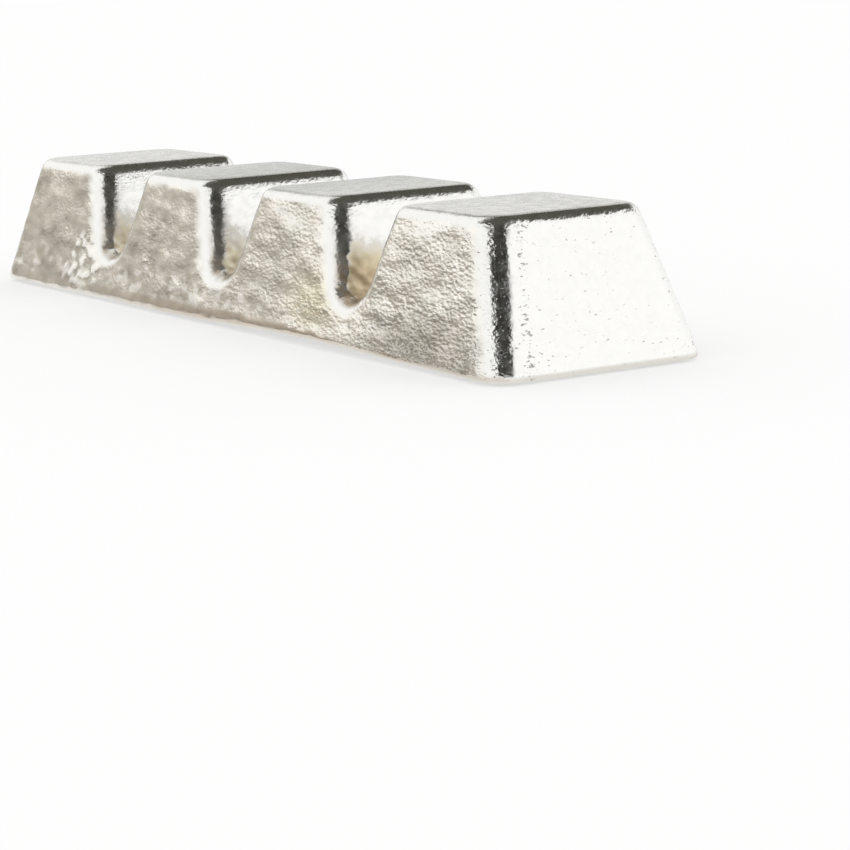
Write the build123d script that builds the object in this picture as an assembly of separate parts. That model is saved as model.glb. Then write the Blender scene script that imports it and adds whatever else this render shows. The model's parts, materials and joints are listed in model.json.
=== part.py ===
"""Notched tin ingot: one casting, shown as it is stored, with its broad open-mould face down.

The bar tapers upwards because it was tipped out of a tapered mould. Cross ribs in the mould
leave deep round-rooted notches, which divide the narrow face into equal lobes, so that the bar
can be gripped, slung or broken into portions.

Frame: millimetres, origin at the middle of the base, +X along the bar, +Z up.
"""

import os
from math import cos, radians, tan

from build123d import *

# Outside of the bar, measured to the sharp corners that the radii below then round off.
BASE_LENGTH = 540.0
BASE_WIDTH = 124.0
HEIGHT = 74.0
END_DRAFT_DEG = 20.0
SIDE_DRAFT_DEG = 12.5

# Notches across the narrow face, evenly spaced about the middle.
NOTCH_COUNT = 3
NOTCH_PITCH = 131.0
NOTCH_DEPTH = 47.0
NOTCH_WALL_DEG = 22.0
NOTCH_ROOT_RADIUS = 12.5

# Roundings: the four upright corners, the notches' mouths on both sides, the lobes' tops, and the base edge.
CORNER_RADIUS = 16.0
MOUTH_RADIUS = 14.0
TOP_RADIUS = 8.0
BASE_EDGE_RADIUS = 3.0

# How far a notch cutter runs past the bar on every open side, and the size below which a length is nil.
CUTTER_OVERRUN = 10.0
NIL = 1e-3


def tapered_bar():
    """The bar before its notches: its long section crossed with its end section, with rounded upright corners."""
    on_base = (Align.CENTER, Align.MIN)
    long_section = Plane.XZ * Trapezoid(BASE_LENGTH, HEIGHT, 90 - END_DRAFT_DEG, align=on_base)
    end_section = Plane.YZ * Trapezoid(BASE_WIDTH, HEIGHT, 90 - SIDE_DRAFT_DEG, align=on_base)
    block = extrude(long_section, BASE_WIDTH / 2, both=True) & extrude(end_section, BASE_LENGTH / 2, both=True)
    uprights = block.edges().filter_by(lambda edge: edge.bounding_box().size.Z > NIL)
    return fillet(uprights, CORNER_RADIUS)


def notch_cutter(centre_x):
    """The space of one notch: two straight walls that run tangent into a round root."""
    wall = radians(NOTCH_WALL_DEG)
    floor = HEIGHT - NOTCH_DEPTH
    root_centre = floor + NOTCH_ROOT_RADIUS
    mouth = HEIGHT + CUTTER_OVERRUN
    tangent_x = NOTCH_ROOT_RADIUS * cos(wall)
    tangent_z = root_centre - tangent_x * tan(wall)
    mouth_x = tangent_x + (mouth - tangent_z) * tan(wall)
    outline = Curve() + [
        Line((-mouth_x, mouth), (-tangent_x, tangent_z)),
        ThreePointArc((-tangent_x, tangent_z), (0, floor), (tangent_x, tangent_z)),
        Line((tangent_x, tangent_z), (mouth_x, mouth)),
        Line((mouth_x, mouth), (-mouth_x, mouth)),
    ]
    section = Plane.XZ * make_face(outline)
    return Pos(centre_x, 0, 0) * extrude(section, BASE_WIDTH / 2 + CUTTER_OVERRUN, both=True)


def is_mouth(edge):
    """True for the edges that follow a notch's section along the bar's sides: above the base, and not level."""
    box = edge.bounding_box()
    return box.min.Z > NIL and box.size.Z > NIL


def tin_ingot():
    """The finished casting."""
    first = -(NOTCH_COUNT - 1) / 2 * NOTCH_PITCH
    cutters = [notch_cutter(first + index * NOTCH_PITCH) for index in range(NOTCH_COUNT)]
    casting = tapered_bar() - cutters
    casting = fillet(casting.edges().filter_by(is_mouth), MOUTH_RADIUS)
    top_edges = casting.edges().filter_by(lambda edge: edge.bounding_box().min.Z > HEIGHT - NIL)
    casting = fillet(top_edges, TOP_RADIUS)
    base_edges = casting.edges().filter_by(lambda edge: edge.bounding_box().max.Z < NIL)
    return fillet(base_edges, BASE_EDGE_RADIUS)


os.makedirs("parts", exist_ok=True)
export_step(tin_ingot(), "parts/tin_ingot.step")
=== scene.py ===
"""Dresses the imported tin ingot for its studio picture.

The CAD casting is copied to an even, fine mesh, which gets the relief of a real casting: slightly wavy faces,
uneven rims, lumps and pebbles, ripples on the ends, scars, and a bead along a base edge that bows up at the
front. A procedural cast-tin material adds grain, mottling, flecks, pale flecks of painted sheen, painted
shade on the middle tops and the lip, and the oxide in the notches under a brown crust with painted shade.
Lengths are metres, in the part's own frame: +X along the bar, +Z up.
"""

import json
from math import cos, radians, sin
from types import SimpleNamespace

import bpy
import numpy as np
from mathutils import Matrix, Vector, noise


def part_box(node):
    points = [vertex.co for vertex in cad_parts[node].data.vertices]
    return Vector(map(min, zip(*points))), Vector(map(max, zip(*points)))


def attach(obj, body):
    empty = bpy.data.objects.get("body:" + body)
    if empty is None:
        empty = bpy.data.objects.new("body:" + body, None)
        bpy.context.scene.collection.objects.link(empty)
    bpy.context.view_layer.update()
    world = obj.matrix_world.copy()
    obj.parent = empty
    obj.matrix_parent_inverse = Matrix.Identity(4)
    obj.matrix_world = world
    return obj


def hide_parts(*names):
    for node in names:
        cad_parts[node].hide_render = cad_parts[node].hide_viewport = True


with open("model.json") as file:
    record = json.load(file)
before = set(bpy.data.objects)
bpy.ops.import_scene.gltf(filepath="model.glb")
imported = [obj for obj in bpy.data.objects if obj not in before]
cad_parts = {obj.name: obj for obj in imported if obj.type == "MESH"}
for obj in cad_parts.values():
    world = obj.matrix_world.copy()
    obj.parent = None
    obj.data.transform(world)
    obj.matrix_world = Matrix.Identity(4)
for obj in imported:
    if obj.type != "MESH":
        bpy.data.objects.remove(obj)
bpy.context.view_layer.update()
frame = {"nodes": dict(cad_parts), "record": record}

MM = 0.001

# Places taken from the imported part. The notches are in order along +X.
HALF_LENGTH, HALF_WIDTH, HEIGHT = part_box("tin_ingot")[1]
OPENINGS = frame["record"]["physics"]["openings"]
NOTCH_BOXES = [opening["box_m"] for opening in OPENINGS if not opening["name"].endswith("mouth")]
NOTCH_CENTRES = [(low[0] + high[0]) / 2 for low, high in NOTCH_BOXES]

# How far the long sides lean in for each unit of height.
SIDE_SLOPE = 0.22

# The photograph's camera, found by fitting the ingot's outline. The picture is square.
PICTURE_PX = 850
FOCAL_PX = 2759.2
CAMERA_PLACE = Vector((1.279, -0.736, 0.209))
CAMERA_YAW = radians(32.231)
CAMERA_PITCH = radians(10.450)
CAMERA_ROLL = radians(1.868)
SENSOR_MM = 36.0

# Mesh of the casting.
VOXEL = 1.65 * MM
SMOOTH_FACTOR = 0.5
SMOOTH_ROUNDS = 6

# Noise fields: the size of their features along X, Y and Z, in millimetres. A field's place in this list,
# counted from 1, is its seed.
FIELD_SIZES_MM = {
    "waves": (75, 75, 75),
    "lumps": (18, 10, 9),
    "ripples": (60, 45, 6),
    "scars": (6, 5, 4),
    "rims": (16, 16, 16),
    "lip": (30, 30, 30),
    "base": (40, 40, 40),
    "grain_patches": (55, 55, 55),
    "pebbles": (6, 4.5, 4),
    "pebble_patches": (45, 45, 45),
    "fine_rims": (5, 5, 5),
    "pits": (30, 30, 30),
    "clouds": (24, 14, 12),
    "small_clouds": (9, 6, 4.5),
    "painted_sheen": (7, 5, 4),
    "crust_and_shade": (4, 4, 4),
    "side_grain": (18, 11, 9),
    "mouth_edge": (5, 4, 3.5),
}
SEED_STEP = np.array([11.3, 5.7, 3.1])

# Kinds of surface: the part of the normal at which a point starts to belong to one and at which it fully
# does, and how ragged the edges of the notches' walls are.
TOP_FACING = (0.75, 0.97)
UNDER_FACING = (0.3, 0.8)
SIDE_FACING = (0.86, 0.96)
END_FACING = (0.80, 0.92)
LEVEL_TO_UPRIGHT = (0.75, 0.50)
MOUTH_FACING = (0.80, 0.60)
WALL_FACING = (0.42, 0.10)
MOUTH_RAGGEDNESS = 0.14

# Where those surfaces start and are full: up the bar, out from its middle, and in towards a notch's centre.
TOP_ZONE = (0.80 * HEIGHT, 0.95 * HEIGHT)
END_ZONE = (0.80 * HALF_LENGTH, 0.86 * HALF_LENGTH)
CORNER_ZONE = (0.86 * HALF_LENGTH, 0.90 * HALF_LENGTH)
NOTCH_ZONE = (33 * MM, 26 * MM)

# Relief: how far each kind reaches where its noise is full.
WAVE_HEIGHT = 0.45 * MM
LUMP_HEIGHT = 0.45 * MM
LUMPS_OFF_THE_SIDES = 0.2
PEBBLE_HEIGHT = 0.22 * MM
PEBBLE_MEAN, PEBBLE_SPREAD = 0.7, 0.5
RIPPLE_HEIGHT = 0.10 * MM
SCAR_HEIGHT = 0.45 * MM
RIM_HEIGHT = 0.40 * MM
FINE_RIM_HEIGHT = 0.20 * MM
RIMS_START = (10 * MM, 20 * MM)
TOP_FLATNESS = 0.7
BEAD_HEIGHT = 0.50 * MM
BEAD_FALLS = (3.2 * MM, 1.6 * MM)

# The front base edge's bow: its height and unevenness, its place along the bar, and where it dies out.
BOW_HEIGHT = 2.6 * MM
BOW_UNEVENNESS = 0.5 * MM
BOW_CENTRE, BOW_WIDTH = 95 * MM, 85 * MM
BOW_FRONT = (-0.3 * HALF_WIDTH, -0.95 * HALF_WIDTH)
BOW_DIES_OUT = (22 * MM, 0.0)

# The lip along the base edge: its height at the far and the near end and on the end faces. Its brownish tint
# carries painted shade and covers more towards the near end.
FAR_LIP, NEAR_LIP, END_LIP = 8.0 * MM, 3.5 * MM, 2.6 * MM
LIP_NARROWS = (20 * MM, 170 * MM)
LIP_UNEVENNESS = 1.2 * MM
LIP_EDGE = 1.5 * MM
LIP_DARKENS = (-200 * MM, 0.0)
FAR_LIP_TINT, NEAR_LIP_TINT = 0.25, 0.9

# Spots on the front side, each beside a notch: cast scars, which also get a painted highlight, and a straw
# tint.
SPOT_DEPTH = 20 * MM
SCAR_SPOT = {"x": NOTCH_CENTRES[0] - 30 * MM, "z": 21 * MM, "width": 26 * MM, "height": 15 * MM}
STRAW_SPOT = {"x": NOTCH_CENTRES[2] - 31 * MM, "z": 22 * MM, "width": 22 * MM, "height": 15 * MM}
SCAR_PATCH = (0.15, 0.6)
SCAR_EDGE = (-0.05, 0.20)

# Depth of the grain: it grows from the far end to the near one, and differs on each kind of surface.
NEAR_END = (-30 * MM, 200 * MM)
FAR_SIDE_GRAIN, NEAR_SIDE_GRAIN = 0.48, 1.00
SIDE_GRAIN_PATCHES = 0.25
SIDE_GRAIN_SPREAD = 0.9
SIDE_GRAIN_LIMITS = (0.2, 1.5)
FAR_RIM_GRAIN, NEAR_RIM_GRAIN = 0.50, 0.75
CORNER_GRAIN, END_GRAIN, TOP_GRAIN, SEAM_GRAIN = 1.0, 0.15, 0.12, 0.3
WALL_GRAIN, DEEP_WALL_GRAIN, HIGH_WALL_GRAIN = 0.1, 0.25, 0.4
HIGH_WALL = (58 * MM, 66 * MM)
LIP_SMOOTHNESS = 0.8
GRAIN_LIMITS = (0.05, 1.5)

# Dark pits: along a seam inside the front edge of each end, crowded low on the ends, and fewer elsewhere.
SEAM_INSET, SEAM_WIDTH = 17 * MM, 3 * MM
SEAM_FADES = (0.5 * HALF_WIDTH, 0.0)
CROWD = {"y": -25 * MM, "z": 18 * MM, "width": 22 * MM, "height": 16 * MM}
END_PITS, END_PIT_SPREAD, CROWD_PITS = 0.2, 0.5, 0.3
CORNER_PITS, NEAR_SIDE_PITS = 0.5, 0.3
PITTED_SIDE = (130 * MM, 220 * MM)

# Brightness of the sides: mottled, with a painted sheen low on the third lobe, and darker low on the fourth.
FAR_TONE, NEAR_TONE = 0.66, 1.0
FAR_MOTTLE, NEAR_MOTTLE = 1.0, 0.6
CLOUD_SHARE, SMALL_CLOUD_SHARE = 0.55, 0.70
LOW_SIDE = (34 * MM, 12 * MM)
BRIGHT_LOW = {"centre": 70 * MM, "width": 55 * MM}
DARK_LOW = {"centre": 205 * MM, "width": 50 * MM}
BRIGHT_LOW_CHANGE, DARK_LOW_CHANGE = 0.7, -1.2

# Painted sheen: pale flecks low on the first lobes, with a few on the third, that paint the lower sides'
# sheen.
SHEEN_EDGE = (-0.05, 0.45)
SHEEN_ZONE = (34 * MM, 14 * MM)
SHEEN_FADES = (120 * MM, 0.0)
THIRD_LOBE = {"centre": 75 * MM, "width": 40 * MM}
THIRD_LOBE_SHEEN = 0.5
SHEEN_STRENGTH = 0.55

# Oxide in the notches: its strength in each, the heights where it starts and is full, how much lower these
# are in the middle of the bar's width, and the brown crust with painted shade at the mouths and roots.
OXIDE_STRENGTHS = (0.45, 0.45, 1.0)
OXIDE_HEIGHTS = (0.86 * HEIGHT, 0.38 * HEIGHT)
MIDDLE_DROP = 4 * MM
MIDDLE_ZONE = (40 * MM, 22 * MM)
CRUST_AND_SHADE_SIDES = (22 * MM, 42 * MM)
CRUST_AND_SHADE_ROOT = (34 * MM, 27 * MM)
CRUST_AND_SHADE_ROOT_SHARE = 0.5
CRUST_AND_SHADE_MEAN, CRUST_AND_SHADE_SPREAD = 0.85, 0.9

# The tops carry painted shade, darkest about here.
TOP_SHADE_CENTRE, TOP_SHADE_WIDTH = -10 * MM, 110 * MM


def ramp(values, start, end):
    """0 at start, 1 at end, smooth between, for an array of values. start may be the larger one."""
    share = np.clip((values - start) / (end - start), 0.0, 1.0)
    return share * share * (3.0 - 2.0 * share)


def bell(values, centre, width):
    """A smooth bump of height 1 at centre."""
    return np.exp(-(((values - centre) / width) ** 2))


def blend(first, second, share):
    """From first at a share of 0 to second at a share of 1."""
    return first + (second - first) * share


def field(points, name):
    """The named noise at each point, from about -1 to 1."""
    size = np.array(FIELD_SIZES_MM[name]) * MM
    seed = list(FIELD_SIZES_MM).index(name) + 1
    scaled = points / size + SEED_STEP * seed
    return np.array([noise.noise(Vector(point)) for point in scaled])


def front_spot(points, x, z, width, height):
    """A soft spot on the front side, 1 at its middle."""
    spot = bell(points[:, 0], x, width) * bell(points[:, 2], z, height)
    return spot * ramp(points[:, 1], 0.0, -SPOT_DEPTH)


def fine_copy():
    """The CAD casting as an even mesh, fine enough to carry the relief."""
    piece = bpy.data.objects.new("cast_ingot", frame["nodes"]["tin_ingot"].data.copy())
    bpy.context.scene.collection.objects.link(piece)
    remesh = piece.modifiers.new("even_mesh", "REMESH")
    remesh.mode = "VOXEL"
    remesh.voxel_size = VOXEL
    smooth = piece.modifiers.new("round_facets", "SMOOTH")
    smooth.factor = SMOOTH_FACTOR
    smooth.iterations = SMOOTH_ROUNDS
    depsgraph = bpy.context.evaluated_depsgraph_get()
    mesh = bpy.data.meshes.new_from_object(piece.evaluated_get(depsgraph))
    piece.modifiers.clear()
    piece.data = mesh
    mesh.name = "cast_ingot"
    mesh.materials.clear()
    mesh.shade_smooth()
    return piece


def read_vectors(collection, name):
    """An array with one row of three for each item of a mesh collection."""
    values = np.zeros(len(collection) * 3, np.float32)
    collection.foreach_get(name, values)
    return values.reshape(-1, 3).astype(float)


def write_mask(mesh, name, values):
    """Keeps one number per point, for the material to read."""
    attribute = mesh.attributes.new(name, "FLOAT", "POINT")
    attribute.data.foreach_set("value", values.astype(np.float32))


def surface_kinds(points, normals):
    """How much each point belongs to each kind of surface, from 0 to 1."""
    x, z = points[:, 0], points[:, 2]
    along, across, up = np.abs(normals[:, 0]), np.abs(normals[:, 1]), normals[:, 2]
    top = ramp(up, *TOP_FACING) * ramp(z, *TOP_ZONE)
    under = ramp(-up, *UNDER_FACING)
    side = ramp(across, *SIDE_FACING)
    end = ramp(along, *END_FACING) * ramp(np.abs(x), *END_ZONE)
    other = 1.0 - np.clip(top + under + side + end, 0.0, 1.0)
    corner = other * ramp(np.abs(up), *LEVEL_TO_UPRIGHT) * ramp(np.abs(x), *CORNER_ZONE)
    from_notch = np.min([np.abs(x - centre) for centre in NOTCH_CENTRES], axis=0)
    inner = other * ramp(from_notch, *NOTCH_ZONE)
    mouth = inner * ramp(across, *MOUTH_FACING)
    wall = inner * ramp(across + MOUTH_RAGGEDNESS * field(points, "mouth_edge"), *WALL_FACING)
    rim = np.clip(other - corner - wall, 0.0, 1.0)
    return SimpleNamespace(
        top=top, under=under, side=side, end=end, corner=corner, mouth=mouth, wall=wall, rim=rim,
    )


def scar_share(points, kinds):
    """Cast scars on the front side, beside the first notch."""
    patch = ramp(front_spot(points, **SCAR_SPOT), *SCAR_PATCH)
    return ramp(field(points, "scars"), *SCAR_EDGE) * patch * kinds.side


def lip_share(points, kinds):
    """The smooth lip along the base edge, taller towards the far end."""
    x, z = points[:, 0], points[:, 2]
    height = blend(FAR_LIP, NEAR_LIP, ramp(x, *LIP_NARROWS)) + LIP_UNEVENNESS * field(points, "lip")
    height = blend(height, END_LIP, kinds.end)
    return ramp(z, height + LIP_EDGE, height - LIP_EDGE) * (1.0 - kinds.under)


def relief(points, kinds, scars):
    """How far casting left each point outside the CAD surface."""
    z = points[:, 2]
    waves = WAVE_HEIGHT * field(points, "waves")
    lumps = LUMP_HEIGHT * field(points, "lumps") * blend(LUMPS_OFF_THE_SIDES, 1.0, kinds.side)
    pebbles = PEBBLE_HEIGHT * field(points, "pebbles") * (kinds.side + kinds.corner)
    pebbles *= PEBBLE_MEAN + PEBBLE_SPREAD * field(points, "pebble_patches")
    ripples = RIPPLE_HEIGHT * field(points, "ripples") * kinds.end
    rims = RIM_HEIGHT * field(points, "rims") + FINE_RIM_HEIGHT * field(points, "fine_rims")
    rims *= kinds.rim * ramp(z, *RIMS_START)
    bead = BEAD_HEIGHT * ramp(z, *BEAD_FALLS)
    uneven = waves + lumps + pebbles + ripples + rims + SCAR_HEIGHT * scars
    return (uneven * (1.0 - TOP_FLATNESS * kinds.top) + bead) * (1.0 - kinds.under)


def base_bow(points):
    """How far the front base edge bows up from the floor."""
    x, y, z = points.T
    bow = BOW_HEIGHT * bell(x, BOW_CENTRE, BOW_WIDTH) + BOW_UNEVENNESS * (1.0 + field(points, "base"))
    return bow * ramp(y, *BOW_FRONT) * ramp(z, *BOW_DIES_OUT)


def grain_masks(points, kinds, lip, sunk):
    """How deep the fine grain is, and how crowded the dark pits are."""
    x, y, z = points.T
    near = ramp(x, *NEAR_END)
    side_grain = blend(FAR_SIDE_GRAIN, NEAR_SIDE_GRAIN, near)
    side_grain += SIDE_GRAIN_PATCHES * field(points, "grain_patches")
    side_grain *= 1.0 + SIDE_GRAIN_SPREAD * field(points, "side_grain")
    wall_grain = WALL_GRAIN + DEEP_WALL_GRAIN * sunk + HIGH_WALL_GRAIN * ramp(z, *HIGH_WALL)
    seam_line = np.abs(y) + SIDE_SLOPE * z
    seam = bell(seam_line, HALF_WIDTH - SEAM_INSET, SEAM_WIDTH) * kinds.end * ramp(y, *SEAM_FADES)
    grain = np.clip(side_grain, *SIDE_GRAIN_LIMITS) * kinds.side
    grain += blend(FAR_RIM_GRAIN, NEAR_RIM_GRAIN, near) * kinds.rim
    grain += CORNER_GRAIN * kinds.corner + END_GRAIN * kinds.end + TOP_GRAIN * kinds.top
    grain += wall_grain * kinds.wall + SEAM_GRAIN * seam - LIP_SMOOTHNESS * lip

    crowd = bell(y, CROWD["y"], CROWD["width"]) * bell(z, CROWD["z"], CROWD["height"])
    end_pits = END_PITS + END_PIT_SPREAD * field(points, "pits") + CROWD_PITS * crowd
    pits = np.clip(end_pits, 0.0, 1.0) * kinds.end + seam + CORNER_PITS * kinds.corner
    pits += NEAR_SIDE_PITS * kinds.side * ramp(x, *PITTED_SIDE)
    return {"grain": np.clip(grain, *GRAIN_LIMITS), "pits": np.clip(pits, 0.0, 1.0)}


def side_masks(points, kinds, lip, scars):
    """How bright, straw-tinted and satin the long sides are, and where pale flecks of painted sheen lie on
    them.
    """
    x, z = points[:, 0], points[:, 2]
    near = ramp(x, *NEAR_END)
    clouds = CLOUD_SHARE * field(points, "clouds") + SMALL_CLOUD_SHARE * field(points, "small_clouds")
    tone = blend(FAR_TONE, NEAR_TONE, near) + clouds * blend(FAR_MOTTLE, NEAR_MOTTLE, near)
    # The brighter patch low on the third lobe is a painted sheen; the fourth lobe is darker low down.
    low_change = BRIGHT_LOW_CHANGE * bell(x, **BRIGHT_LOW) + DARK_LOW_CHANGE * bell(x, **DARK_LOW)
    tone += ramp(z, *LOW_SIDE) * low_change
    painted_sheen = ramp(field(points, "painted_sheen"), *SHEEN_EDGE) * ramp(z, *SHEEN_ZONE)
    painted_sheen *= ramp(x, *SHEEN_FADES) + THIRD_LOBE_SHEEN * bell(x, **THIRD_LOBE)
    painted_sheen *= SHEEN_STRENGTH * kinds.side * (1.0 - lip)
    return {
        "tone": np.clip(tone, 0.0, 1.0),
        # The scars get the same pale colour: a painted highlight.
        "painted_sheen": np.maximum(painted_sheen, scars),
        "straw": front_spot(points, **STRAW_SPOT) * kinds.side,
        "satin": kinds.side * (1.0 - near),
    }


def oxide_masks(points, kinds, sunk):
    """How thick the oxide is on the notches' walls, and where a brown crust with painted shade covers their
    mouths and roots.
    """
    x, y, z = points.T
    strength = np.interp(x, NOTCH_CENTRES, OXIDE_STRENGTHS)
    place = np.maximum(ramp(np.abs(y), *CRUST_AND_SHADE_SIDES), CRUST_AND_SHADE_ROOT_SHARE * ramp(z, *CRUST_AND_SHADE_ROOT))
    crust_and_shade = kinds.mouth * sunk * np.sqrt(strength) * place
    crust_and_shade *= CRUST_AND_SHADE_MEAN + CRUST_AND_SHADE_SPREAD * field(points, "crust_and_shade")
    return {"oxide": kinds.wall * sunk * strength, "crust_and_shade": np.clip(crust_and_shade, 0.0, 1.0)}


def add_relief(piece):
    """Moves the points as casting left them, and writes the masks that the material reads."""
    mesh = piece.data
    points = read_vectors(mesh.vertices, "co")
    normals = read_vectors(mesh.vertex_normals, "vector")
    kinds = surface_kinds(points, normals)
    scars = scar_share(points, kinds)
    lip = lip_share(points, kinds)

    moved = points + normals * relief(points, kinds, scars)[:, None]
    moved[:, 2] = np.maximum(moved[:, 2] + base_bow(points), 0.0)
    mesh.vertices.foreach_set("co", moved.astype(np.float32).ravel())
    mesh.update()

    x, y, z = points.T
    sunk = ramp(z + MIDDLE_DROP * ramp(np.abs(y), *MIDDLE_ZONE), *OXIDE_HEIGHTS)
    masks = {
        "top": kinds.top,
        # Painted shade on the tops, darkest in the middle of the bar.
        "painted_top_shade": kinds.top * bell(x, TOP_SHADE_CENTRE, TOP_SHADE_WIDTH),
        "side": kinds.side,
        # The lip's brownish tint, with painted shade, stronger towards the near end.
        "lip": lip * blend(FAR_LIP_TINT, NEAR_LIP_TINT, ramp(x, *LIP_DARKENS)),
        **grain_masks(points, kinds, lip, sunk),
        **side_masks(points, kinds, lip, scars),
        **oxide_masks(points, kinds, sunk),
    }
    for name, values in masks.items():
        write_mask(mesh, name, values)


def add_node(tree, kind, values=None, links=None, **settings):
    """A shader node with its settings, its input values and what is linked to its inputs."""
    made = tree.nodes.new(kind)
    for name, value in settings.items():
        setattr(made, name, value)
    for name, value in (values or {}).items():
        made.inputs[name].default_value = value
    for name, socket in (links or {}).items():
        tree.links.new(socket, made.inputs[name])
    return made


def new_material(name):
    """An empty node material and its output node."""
    material = bpy.data.materials.new(name)
    material.use_nodes = True
    material.node_tree.nodes.clear()
    output = add_node(material.node_tree, "ShaderNodeOutputMaterial")
    return material, material.node_tree, output


def mix_colours(tree, share, first, second):
    """The two colours mixed by a share, each a socket or a fixed colour."""
    mix = add_node(tree, "ShaderNodeMix", data_type="RGBA")
    tree.links.new(share, mix.inputs["Factor"])
    for socket, colour in ((mix.inputs[6], first), (mix.inputs[7], second)):
        if isinstance(colour, bpy.types.NodeSocket):
            tree.links.new(colour, socket)
        else:
            socket.default_value = (*colour, 1.0)
    return mix.outputs[2]


def mapped(tree, value, from_min, from_max, to_min=0.0, to_max=1.0):
    """A value carried smoothly from one range to another."""
    values = {"From Min": from_min, "From Max": from_max, "To Min": to_min, "To Max": to_max}
    made = add_node(tree, "ShaderNodeMapRange", values, {"Value": value}, interpolation_type="SMOOTHSTEP")
    return made.outputs["Result"]


def combine(tree, operation, first, second):
    """Two values put together by a math operation, where the second may be a fixed number."""
    made = add_node(tree, "ShaderNodeMath", links={0: first}, operation=operation)
    if isinstance(second, bpy.types.NodeSocket):
        tree.links.new(second, made.inputs[1])
    else:
        made.inputs[1].default_value = second
    return made.outputs[0]


def product(tree, first, second):
    """Two values multiplied, where the second may be a fixed number."""
    return combine(tree, "MULTIPLY", first, second)


def tint(tree, colour, share, cover, strength=1.0):
    """A colour with another over it, as far as a share and a strength say."""
    return mix_colours(tree, product(tree, share, strength), colour, cover)


def mask(tree, name):
    """One of the numbers that write_mask kept per point."""
    return add_node(tree, "ShaderNodeAttribute", attribute_name=name).outputs["Fac"]


def object_place(tree):
    """The shaded point's place in the part's own frame."""
    return add_node(tree, "ShaderNodeTexCoord").outputs["Object"]


def cells(tree, size):
    """The shaded point's place, counted in cells of a size along each axis."""
    per_cell = tuple(1.0 / length for length in size)
    made = add_node(tree, "ShaderNodeMapping", {"Scale": per_cell}, {"Vector": object_place(tree)})
    return made.outputs["Vector"]


def cloud(tree, size, detail=2.0, roughness=0.5):
    """Noise from 0 to 1 with features of about a size."""
    values = {"Scale": 1.0 / size, "Detail": detail, "Roughness": roughness}
    return add_node(tree, "ShaderNodeTexNoise", values, {"Vector": object_place(tree)}).outputs["Fac"]


def patches(tree, start, full, **noise_values):
    """Soft patches, as a share that rises while their noise goes from start to full."""
    return mapped(tree, cloud(tree, **noise_values), start, full)


# Colours of the bare metal, of what lies on it, and of painted shade and sheen.
BARE_METAL = (0.93, 0.925, 0.895)
DARK_SIDE, BRIGHT_SIDE = (0.54, 0.52, 0.46), (0.98, 0.955, 0.89)
PINK_SIDE, SAGE_SIDE, STRAW_SIDE = (0.84, 0.77, 0.71), (0.78, 0.79, 0.72), (0.92, 0.85, 0.60)
# The last top colour here is painted shade, laid on the tops in the middle of the bar.
DARK_TOP, BRIGHT_TOP, PAINTED_TOP_SHADE = (0.76, 0.755, 0.71), (0.95, 0.94, 0.89), (0.52, 0.52, 0.47)
# Pale flecks of painted sheen on the lower sides, and painted highlight on the scars.
PALE_SHEEN = (1.0, 0.98, 0.92)
# The lip's colour: brownish, darkened as painted shade for the darker surroundings it reflects.
LIP_BROWN_AND_SHADE = (0.70, 0.62, 0.53)
PALE_OXIDE, STRAW_OXIDE, TAN_OXIDE = (0.99, 0.965, 0.90), (0.99, 0.92, 0.68), (1.0, 0.84, 0.60)
OLIVE_OXIDE, BROWN_OXIDE = (0.78, 0.70, 0.44), (0.55, 0.41, 0.23)
# Brown crust with painted shade: darkens the notches' roots and the dark stripe that their mouths reflect.
BROWN_CRUST_AND_SHADE = (0.28, 0.20, 0.10)
DARK_FLECK = (0.25, 0.23, 0.20)

# How far a tint covers what is under it, where its share is full.
PINK_COVER, SAGE_COVER, STRAW_COVER, TOP_SHADE_COVER = 0.35, 0.35, 0.6, 0.8
OLIVE_COVER, BROWN_COVER, CRUST_AND_SHADE_COVER, FLECK_COVER = 0.3, 0.20, 0.9, 0.8

# Patches of tint: their size, and the noise at which they start and are full.
PINK_CLOUDS = {"size": 28 * MM, "start": 0.48, "full": 0.68}
SAGE_CLOUDS = {"size": 40 * MM, "start": 0.48, "full": 0.66}
TOP_MOTTLE = {"size": 7 * MM, "start": 0.35, "full": 0.65, "detail": 3.0, "roughness": 0.6}
OLIVE_CLOUDS = {"size": 9 * MM, "start": 0.48, "full": 0.62}
BROWN_SPECKS = {"size": 2.4 * MM, "start": 0.45, "full": 0.60, "detail": 3.0, "roughness": 0.65}

# Layers of oxide: the thickness, or the thickness made uneven by noise, at which each starts and is full.
OXIDE_EDGE, OLIVE_EDGE, BROWN_EDGE = (0.0, 0.3), (0.3, 0.8), (0.2, 0.8)
PALE_STAIN, STRAW_STAIN, TAN_STAIN = (0.35, 0.70), (0.55, 0.95), (0.75, 1.25)
STAIN_NOISE = {"size": 5 * MM, "detail": 4.0, "roughness": 0.65}
STAIN_UNEVENNESS = 0.7

# Fine grain: the size of its cells, and how deep its lumps and pebbles are.
GRAIN_CELL = (2.9 * MM, 2.3 * MM, 1.8 * MM)
GRAIN_LUMP_DEPTH = 0.36 * MM
GRAIN_PEBBLE_DEPTH = 0.17 * MM

# Flecks: wider than high, how much a crowd of pits adds to their noise, and the noise and pits they start at.
FLECK_CELL = (3.2 * MM, 3.2 * MM, 1.4 * MM)
FLECK_CROWDING = 0.15
FLECK_EDGE, PITS_EDGE = (0.70, 0.77), (0.0, 0.1)

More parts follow.
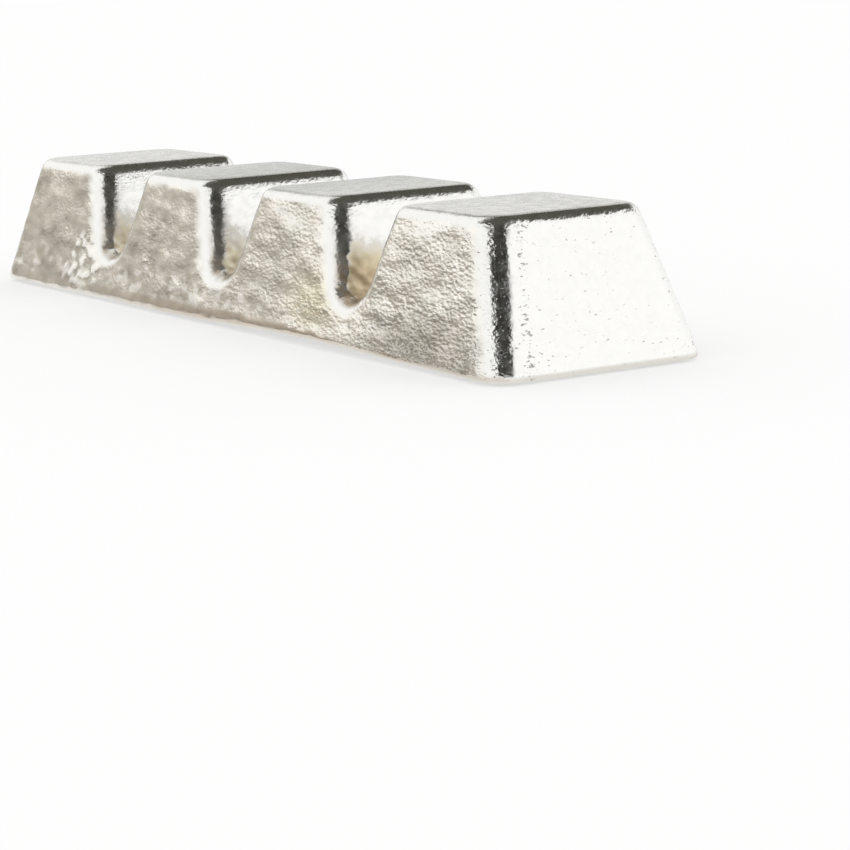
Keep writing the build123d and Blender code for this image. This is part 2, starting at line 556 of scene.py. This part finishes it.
# Gloss: the metal's range of roughness, what each surface adds to it, and how metallic each is when full.
GLOSS_NOISE = {"size": 5 * MM, "detail": 3.0}
GLOSS_NOISE_RANGE = (0.35, 0.68)
SMOOTH_METAL, ROUGH_METAL = 0.16, 0.26
SIDE_ROUGHER, SATIN_ROUGHER, TOP_ROUGHER, OXIDE_ROUGHER, SHEEN_ROUGHER = -0.06, 0.06, 0.08, 0.26, 0.15
OXIDE_METALLIC, SHEEN_METALLIC, CRUST_AND_SHADE_METALLIC, TOP_METALLIC = 0.05, 0.15, 0.6, 0.45
FLAT_OF_TOP = 0.93


def flecks(tree):
    """Ragged dashes that crowd where the pits do, as a share from 0 to 1."""
    pits = mask(tree, "pits")
    values = {"Scale": 1.0, "Detail": 3.0, "Roughness": 0.6}
    speckle = add_node(tree, "ShaderNodeTexNoise", values, {"Vector": cells(tree, FLECK_CELL)})
    crowded = combine(tree, "ADD", speckle.outputs["Fac"], product(tree, pits, FLECK_CROWDING))
    return product(tree, mapped(tree, crowded, *FLECK_EDGE), mapped(tree, pits, *PITS_EDGE))


def side_colour(tree):
    """The long sides: warm metal, mottled light and dark, with pink, sage and straw clouds."""
    colour = mix_colours(tree, mask(tree, "tone"), DARK_SIDE, BRIGHT_SIDE)
    colour = tint(tree, colour, patches(tree, **PINK_CLOUDS), PINK_SIDE, PINK_COVER)
    colour = tint(tree, colour, patches(tree, **SAGE_CLOUDS), SAGE_SIDE, SAGE_COVER)
    return tint(tree, colour, mask(tree, "straw"), STRAW_SIDE, STRAW_COVER)


def top_colour(tree):
    """The lobes' tops: mottled grey, with painted shade that is darkest in the middle of the bar."""
    colour = mix_colours(tree, patches(tree, **TOP_MOTTLE), DARK_TOP, BRIGHT_TOP)
    return tint(tree, colour, mask(tree, "painted_top_shade"), PAINTED_TOP_SHADE, TOP_SHADE_COVER)


def oxide_layers(tree):
    """The oxide in the notches, palest layer first, each with its share, its colour and how far it covers."""
    oxide = mask(tree, "oxide")
    inside = mapped(tree, oxide, *OXIDE_EDGE)
    unevenness = product(tree, cloud(tree, **STAIN_NOISE), STAIN_UNEVENNESS)
    stain = combine(tree, "ADD", oxide, unevenness)
    pale, straw, tan = (
        product(tree, mapped(tree, stain, *edge), inside) for edge in (PALE_STAIN, STRAW_STAIN, TAN_STAIN)
    )
    olive = product(tree, patches(tree, **OLIVE_CLOUDS), mapped(tree, oxide, *OLIVE_EDGE))
    brown = product(tree, patches(tree, **BROWN_SPECKS), mapped(tree, oxide, *BROWN_EDGE))
    return [
        (pale, PALE_OXIDE, 1.0), (straw, STRAW_OXIDE, 1.0), (tan, TAN_OXIDE, 1.0),
        (olive, OLIVE_OXIDE, OLIVE_COVER), (brown, BROWN_OXIDE, BROWN_COVER),
    ]


def grain_normal(tree):
    """Fine cast grain: soft lumps with small pebbles on them, as deep as the grain mask says."""
    grain = mask(tree, "grain")
    place = {"Vector": cells(tree, GRAIN_CELL)}
    lump_values = {"Scale": 1.0, "Detail": 2.0, "Roughness": 0.6}
    lumps = add_node(tree, "ShaderNodeTexNoise", lump_values, place)
    pebble_values = {"Scale": 1.0, "Smoothness": 0.5}
    pebbles = add_node(tree, "ShaderNodeTexVoronoi", pebble_values, place, feature="SMOOTH_F1")
    links = {"Height": lumps.outputs["Fac"], "Strength": grain}
    lumpy = add_node(tree, "ShaderNodeBump", {"Distance": GRAIN_LUMP_DEPTH}, links)
    links = {"Height": pebbles.outputs["Distance"], "Strength": grain, "Normal": lumpy.outputs["Normal"]}
    return add_node(tree, "ShaderNodeBump", {"Distance": GRAIN_PEBBLE_DEPTH}, links).outputs["Normal"]


def cast_tin():
    """As-cast tin: grained metal with mottled sides, satin tops with painted shade in the middle, pale flecks
    of painted sheen, a lip with painted shade, and oxide in the notches under a brown crust with painted
    shade.
    """
    material, tree, output = new_material("cast_tin")
    side, top, painted_sheen = mask(tree, "side"), mask(tree, "top"), mask(tree, "painted_sheen")
    oxide = oxide_layers(tree)
    pale_oxide = oxide[0][0]
    crust_and_shade = product(tree, mask(tree, "crust_and_shade"), CRUST_AND_SHADE_COVER)

    colour = mix_colours(tree, side, BARE_METAL, side_colour(tree))
    colour = mix_colours(tree, top, colour, top_colour(tree))
    # Pale flecks of painted sheen, and painted highlight on the scars.
    colour = tint(tree, colour, painted_sheen, PALE_SHEEN)
    # The lip's brownish tint, with painted shade.
    colour = tint(tree, colour, mask(tree, "lip"), LIP_BROWN_AND_SHADE)
    for share, cover, strength in oxide:
        colour = tint(tree, colour, share, cover, strength)
    # Brown crust with painted shade over the notches' mouths and roots.
    colour = tint(tree, colour, crust_and_shade, BROWN_CRUST_AND_SHADE)
    colour = tint(tree, colour, flecks(tree), DARK_FLECK, FLECK_COVER)

    gloss_noise = cloud(tree, **GLOSS_NOISE)
    roughness = mapped(tree, gloss_noise, *GLOSS_NOISE_RANGE, SMOOTH_METAL, ROUGH_METAL)
    changes = (
        (side, SIDE_ROUGHER), (mask(tree, "satin"), SATIN_ROUGHER), (top, TOP_ROUGHER),
        (pale_oxide, OXIDE_ROUGHER), (painted_sheen, SHEEN_ROUGHER),
    )
    for share, change in changes:
        roughness = combine(tree, "ADD", roughness, product(tree, share, change))

    metallic = mapped(tree, pale_oxide, 0.0, 1.0, 1.0, OXIDE_METALLIC)
    limits = ((painted_sheen, 0.0, SHEEN_METALLIC), (crust_and_shade, 0.0, CRUST_AND_SHADE_METALLIC), (top, FLAT_OF_TOP, TOP_METALLIC))
    for share, start, least in limits:
        metallic = product(tree, metallic, mapped(tree, share, start, 1.0, 1.0, least))

    links = {"Base Color": colour, "Metallic": metallic, "Roughness": roughness, "Normal": grain_normal(tree)}
    shader = add_node(tree, "ShaderNodeBsdfPrincipled", links=links)
    tree.links.new(shader.outputs["BSDF"], output.inputs["Surface"])
    return material


def seen_directly(tree):
    """1 for rays that show a surface to the camera, also through gloss or glass, and 0 for light rays."""
    path = add_node(tree, "ShaderNodeLightPath")
    seen = path.outputs["Is Camera Ray"]
    for kind in ("Is Glossy Ray", "Is Transmission Ray"):
        links = {0: seen, 1: path.outputs[kind]}
        seen = add_node(tree, "ShaderNodeMath", links=links, operation="ADD", use_clamp=True).outputs[0]
    return seen


# Studio: a white room with a pale floor.
WHITE = (1.0, 1.0, 1.0)
ROOM_LIGHT = 1.0
FLOOR_COLOUR = (0.98, 0.98, 0.975)
FLOOR_GLOW = 0.45
FLOOR_REACH = 6.0
FLOOR_LEVEL = -0.2 * MM

# Cards that only the metal's reflections show: their colours, and how high the level ones are.
WARM_CARD = (1.0, 0.94, 0.85)
OLIVE_CARD = (1.0, 0.98, 0.84)
CEILING = 2.0
JUST_OFF_THE_FLOOR = 0.5 * MM

# Bearings that the upright cards span, in degrees from -Y towards +X.
BEHIND_CAMERA = (30.0, 92.0)
NEAR_END_SIDE = (96.0, 165.0)
FRONT_SIDE = (-59.0, -38.0)
LEFT_SIDE = (-97.0, -59.0)
FAR_SIDE = (-150.0, -100.0)

# How bright the cards are, where the white room is 1.
BLACK, DARK, LOW_GREY, FRONT_GREY, LEFT_GREY = 0.03, 0.08, 0.28, 0.46, 0.54
OVERHEAD_GREY, FAR_GREY, ROOM_WHITE, PANEL_WHITE = 0.70, 0.80, 1.0, 1.06


def mix_shaders(tree, share, first, second):
    """Two shaders mixed by a share."""
    links = {0: share, 1: first.outputs[0], 2: second.outputs[0]}
    return add_node(tree, "ShaderNodeMixShader", links=links).outputs[0]


def make_world():
    """A white room that lights the object evenly."""
    world = bpy.data.worlds.new("white_room")
    bpy.context.scene.world = world
    world.use_nodes = True
    tree = world.node_tree
    tree.nodes.clear()
    light = add_node(tree, "ShaderNodeBackground", {"Color": (*WHITE, 1.0), "Strength": ROOM_LIGHT})
    white = add_node(tree, "ShaderNodeBackground", {"Color": (*WHITE, 1.0), "Strength": 1.0})
    room = mix_shaders(tree, seen_directly(tree), light, white)
    add_node(tree, "ShaderNodeOutputWorld", links={"Surface": room})


def make_plane(name, corners, material):
    """A stage plane through four corners."""
    mesh = bpy.data.meshes.new(name)
    mesh.from_pydata(corners, [], [(0, 1, 2, 3)])
    mesh.materials.append(material)
    plane = bpy.data.objects.new(name, mesh)
    bpy.context.scene.collection.objects.link(plane)
    return plane


def level_corners(x_range, y_range, height):
    """The corners of a level rectangle."""
    return [(x_range[i], y_range[j], height) for i, j in ((0, 0), (1, 0), (1, 1), (0, 1))]


def make_floor():
    """A pale floor that stays near white and keeps the object's soft shadow."""
    material, tree, output = new_material("pale_floor")
    matt = add_node(tree, "ShaderNodeBsdfDiffuse", {"Color": (*FLOOR_COLOUR, 1.0)})
    glow = add_node(tree, "ShaderNodeEmission", {"Color": (*WHITE, 1.0), "Strength": 1.0})
    share = product(tree, seen_directly(tree), FLOOR_GLOW)
    tree.links.new(mix_shaders(tree, share, matt, glow), output.inputs["Surface"])
    reach = (-FLOOR_REACH, FLOOR_REACH)
    make_plane("floor", level_corners(reach, reach, FLOOR_LEVEL), material)


def make_card(name, corners, brightness, colour=WHITE, top_brightness=None):
    """A studio card seen only in the metal's reflections, which may fade to another brightness at its top."""
    material, tree, output = new_material(name)
    shade = add_node(tree, "ShaderNodeEmission", {"Color": (*colour, 1.0), "Strength": brightness})
    if top_brightness is not None:
        heights = [corner[2] for corner in corners]
        height = add_node(tree, "ShaderNodeSeparateXYZ", links={"Vector": object_place(tree)}).outputs["Z"]
        fade = mapped(tree, height, min(heights), max(heights), brightness, top_brightness)
        tree.links.new(fade, shade.inputs["Strength"])
    tree.links.new(shade.outputs[0], output.inputs["Surface"])
    card = make_plane(name, corners, material)
    card.visible_camera = False
    card.visible_diffuse = False
    card.visible_shadow = False


def towards(bearing_deg, distance, height):
    """A point at a bearing from the bar's middle, counted from -Y towards +X."""
    bearing = radians(bearing_deg)
    return (distance * sin(bearing), -distance * cos(bearing), height)


def upright_card(name, bearings, distance, heights, *shade):
    """A card standing between two bearings."""
    first, last = bearings
    low, high = heights
    corners = [
        towards(first, distance, low), towards(last, distance, low),
        towards(last, distance, high), towards(first, distance, high),
    ]
    make_card(name, corners, *shade)


def level_card(name, x_range, y_range, height, *shade):
    """A card that lies or hangs level."""
    make_card(name, level_corners(x_range, y_range, height), *shade)


def make_cards():
    """Dark overhead and behind the camera, grey on the left, front and far side, bright at the near end."""
    level_card("card_overhead", (-3.2, 2.2), (0.6, 3.6), CEILING, DARK, OLIVE_CARD)
    level_card("card_overhead_far", (-5.5, -3.2), (0.6, 5.0), CEILING, OVERHEAD_GREY)
    level_card("card_overhead_near", (-0.9, 2.2), (-1.6, 0.6), CEILING, DARK, OLIVE_CARD)
    level_card("card_low", (-2.0, 0.35), (-1.6, -0.10), JUST_OFF_THE_FLOOR, LOW_GREY, WARM_CARD)
    upright_card("card_camera", BEHIND_CAMERA, 2.2, (0.45, 4.0), BLACK, OLIVE_CARD)
    upright_card("card_left", LEFT_SIDE, 1.6, (0.0, 0.20), LEFT_GREY, WARM_CARD)
    upright_card("card_left_top", LEFT_SIDE, 1.6, (0.20, 0.34), LEFT_GREY, WARM_CARD, ROOM_WHITE)
    upright_card("card_front", FRONT_SIDE, 1.6, (0.0, 0.20), FRONT_GREY, WARM_CARD)
    upright_card("card_front_top", FRONT_SIDE, 1.6, (0.20, 0.27), FRONT_GREY, WARM_CARD, ROOM_WHITE)
    upright_card("card_far", FAR_SIDE, 2.4, (0.0, 0.7), FAR_GREY)
    upright_card("card_end", NEAR_END_SIDE, 2.0, (0.0, 1.40), PANEL_WHITE)
    upright_card("card_end_top", NEAR_END_SIDE, 2.0, (1.40, 1.80), PANEL_WHITE, WHITE, DARK)


def make_camera():
    """A camera at the photograph's viewing angle."""
    level = cos(CAMERA_PITCH)
    forward = Vector((-cos(CAMERA_YAW) * level, sin(CAMERA_YAW) * level, -sin(CAMERA_PITCH)))
    right = forward.cross(Vector((0, 0, 1))).normalized()
    down = forward.cross(right)
    rolled_right = cos(CAMERA_ROLL) * right + sin(CAMERA_ROLL) * down
    rolled_down = cos(CAMERA_ROLL) * down - sin(CAMERA_ROLL) * right
    data = bpy.data.cameras.new("camera")
    data.sensor_fit = "HORIZONTAL"
    data.sensor_width = SENSOR_MM
    data.lens = FOCAL_PX / PICTURE_PX * SENSOR_MM
    camera = bpy.data.objects.new("camera", data)
    bpy.context.scene.collection.objects.link(camera)
    turn = Matrix((rolled_right, -rolled_down, -forward)).transposed()
    camera.matrix_world = Matrix.Translation(CAMERA_PLACE) @ turn.to_4x4()
    bpy.context.scene.camera = camera


ingot = fine_copy()
add_relief(ingot)
ingot.data.materials.append(cast_tin())
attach(ingot, "root")
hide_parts("tin_ingot")

make_world()
make_floor()
make_cards()
make_camera()
bpy.context.scene.view_settings.view_transform = "Standard"
